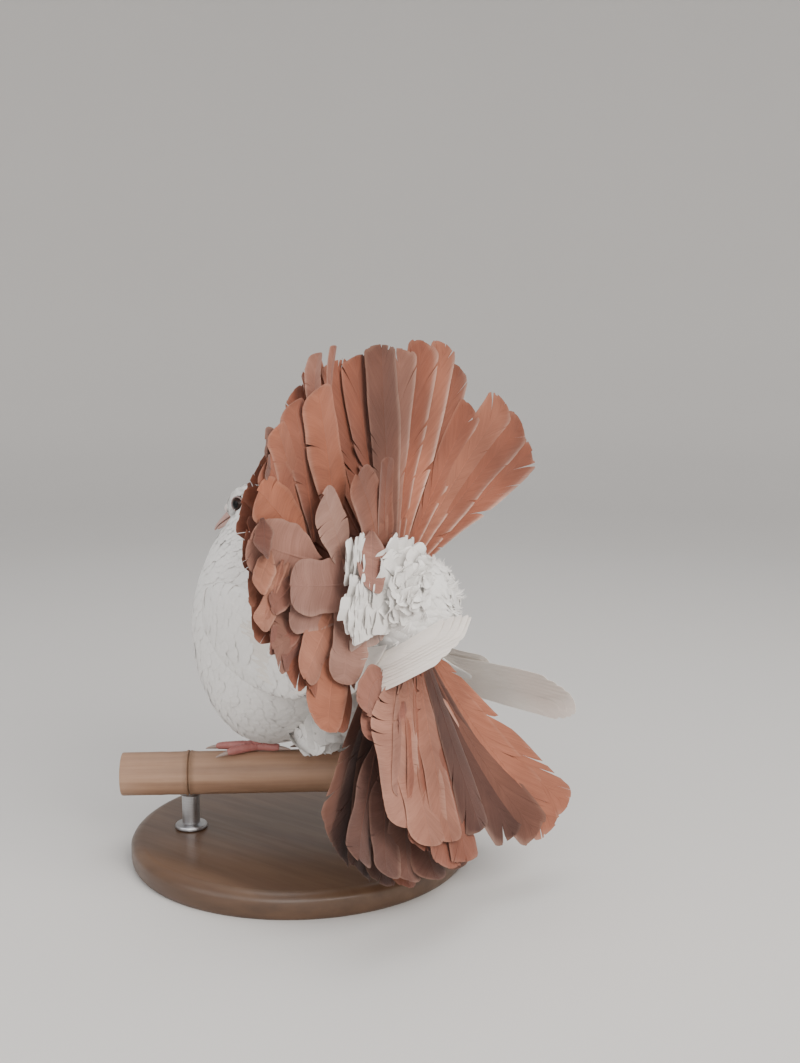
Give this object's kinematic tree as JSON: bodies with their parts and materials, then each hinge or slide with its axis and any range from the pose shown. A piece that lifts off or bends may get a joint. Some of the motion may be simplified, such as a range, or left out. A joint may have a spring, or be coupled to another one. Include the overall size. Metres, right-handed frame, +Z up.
{
  "type": "fantail pigeon model",
  "caption": "Life-size still model of a white fantail pigeon with a rust-coloured raised fan tail, gripping a cut length of bamboo on a plain display stand.",
  "frame": {"origin": "middle of the stand base's underside, on the floor, under the middle of the perch", "axes": "+Z up, the bird looks along -Y, +X is the bird's left side"},
  "size_m": [0.2461, 0.247, 0.2875],
  "materials": {
    "white_feather": "soft matt plumage, off-white",
    "tail_feather": "matt plumage, rust brown with paler edges",
    "wing_feather": "smooth matt plumage, cream",
    "eye": "wet gloss, almost black",
    "bill": "satin horn, dull pink",
    "cere": "powdery, pale",
    "foot_skin": "scaled skin, dull red-pink",
    "claw": "satin horn",
    "bamboo": "weathered bamboo, satin",
    "base_wood": "dark stained, satin lacquer",
    "rod_steel": "brushed"
  },
  "bodies": {
    "root": {"head": "white_feather", "neck": "white_feather", "torso": "white_feather", "tail_upper": "tail_feather", "tail_lower_left": "tail_feather", "tail_lower_right": "tail_feather", "left_wing": "wing_feather", "right_wing": "wing_feather", "left_eye": "eye", "right_eye": "eye", "bill_upper": "bill", "bill_lower": "bill", "cere": "cere", "left_leg": "foot_skin", "right_leg": "foot_skin", "left_foot": "foot_skin", "right_foot": "foot_skin", "left_claw_1": "claw", "left_claw_2": "claw", "left_claw_3": "claw", "left_claw_4": "claw", "right_claw_1": "claw", "right_claw_2": "claw", "right_claw_3": "claw", "right_claw_4": "claw", "perch": "bamboo", "stand_base": "base_wood", "stand_rod_front": "rod_steel", "stand_rod_rear": "rod_steel"}
  },
  "joints": []
}
